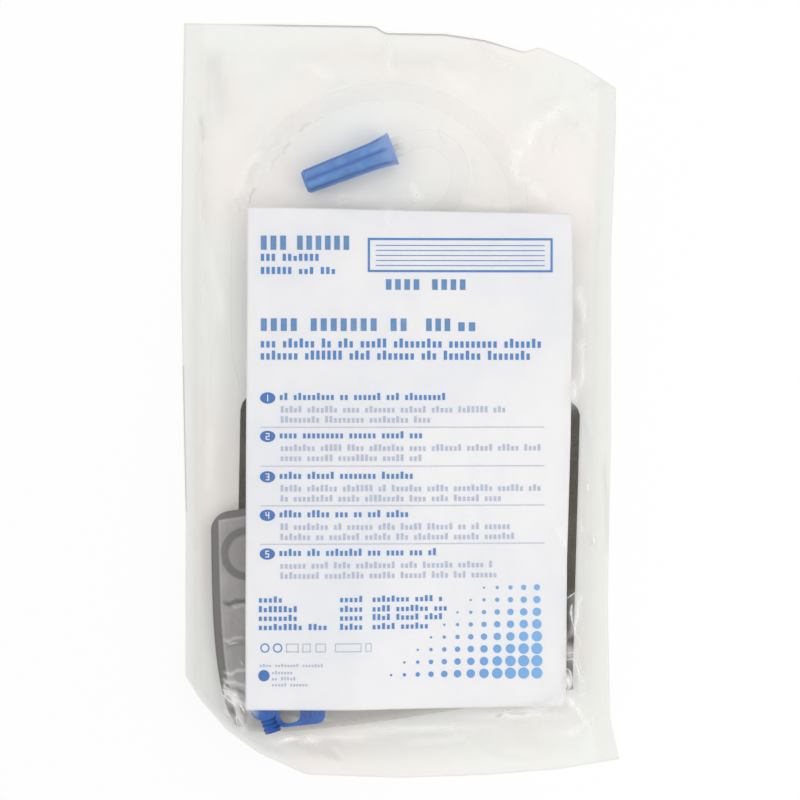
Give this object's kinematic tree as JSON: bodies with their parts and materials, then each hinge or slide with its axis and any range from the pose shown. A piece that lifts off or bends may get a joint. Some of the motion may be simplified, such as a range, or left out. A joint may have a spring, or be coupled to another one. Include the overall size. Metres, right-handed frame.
{
  "type": "urine leg bag in sealed pouch",
  "caption": "Folded urine leg bag with looped inlet tube, capped connector and lever tap, under a printed sheet, sealed between a paper back and a clear film front.",
  "frame": {"origin": "middle of the flat paper back, on the face that it lies on", "axes": "+X across the pack, +Y along it towards the capped end of the tube, +Z out of the clear film front"},
  "size_m": [0.1824, 0.3141, 0.0174],
  "materials": {
    "paper": "matte medical paper",
    "film": "thin clear glossy film",
    "sheet": "smooth printed paper",
    "nonwoven": "matte nonwoven backing",
    "bag_film": "soft grey translucent film",
    "vinyl": "soft clear vinyl",
    "connector": "clear moulded plastic",
    "cap_blue": "ribbed moulded plastic",
    "tap_blue": "moulded plastic",
    "seal": "soft rubber ring"
  },
  "bodies": {
    "pack": {"backing_paper": "paper", "clear_film": "film", "printed_sheet": "sheet", "bag_nonwoven": "nonwoven", "bag_back_film": "bag_film", "bag_front_film": "bag_film", "non_return_valve": "bag_film", "inlet_port": "vinyl", "outlet_port": "vinyl", "inlet_tube": "vinyl", "outlet_tube": "vinyl", "tube_connector": "connector", "protective_cap": "cap_blue", "tap_body": "tap_blue", "tap_seal_ring": "seal"},
    "tap": {"tap_lever": "tap_blue"}
  },
  "joints": [
    {"name": "tap_turn", "type": "hinge", "parent": "pack", "child": "tap", "pos_m": [-0.0556, -0.1251, 0.0104], "axis": [0, 0, 1], "range_deg": [0, 90]}
  ]
}
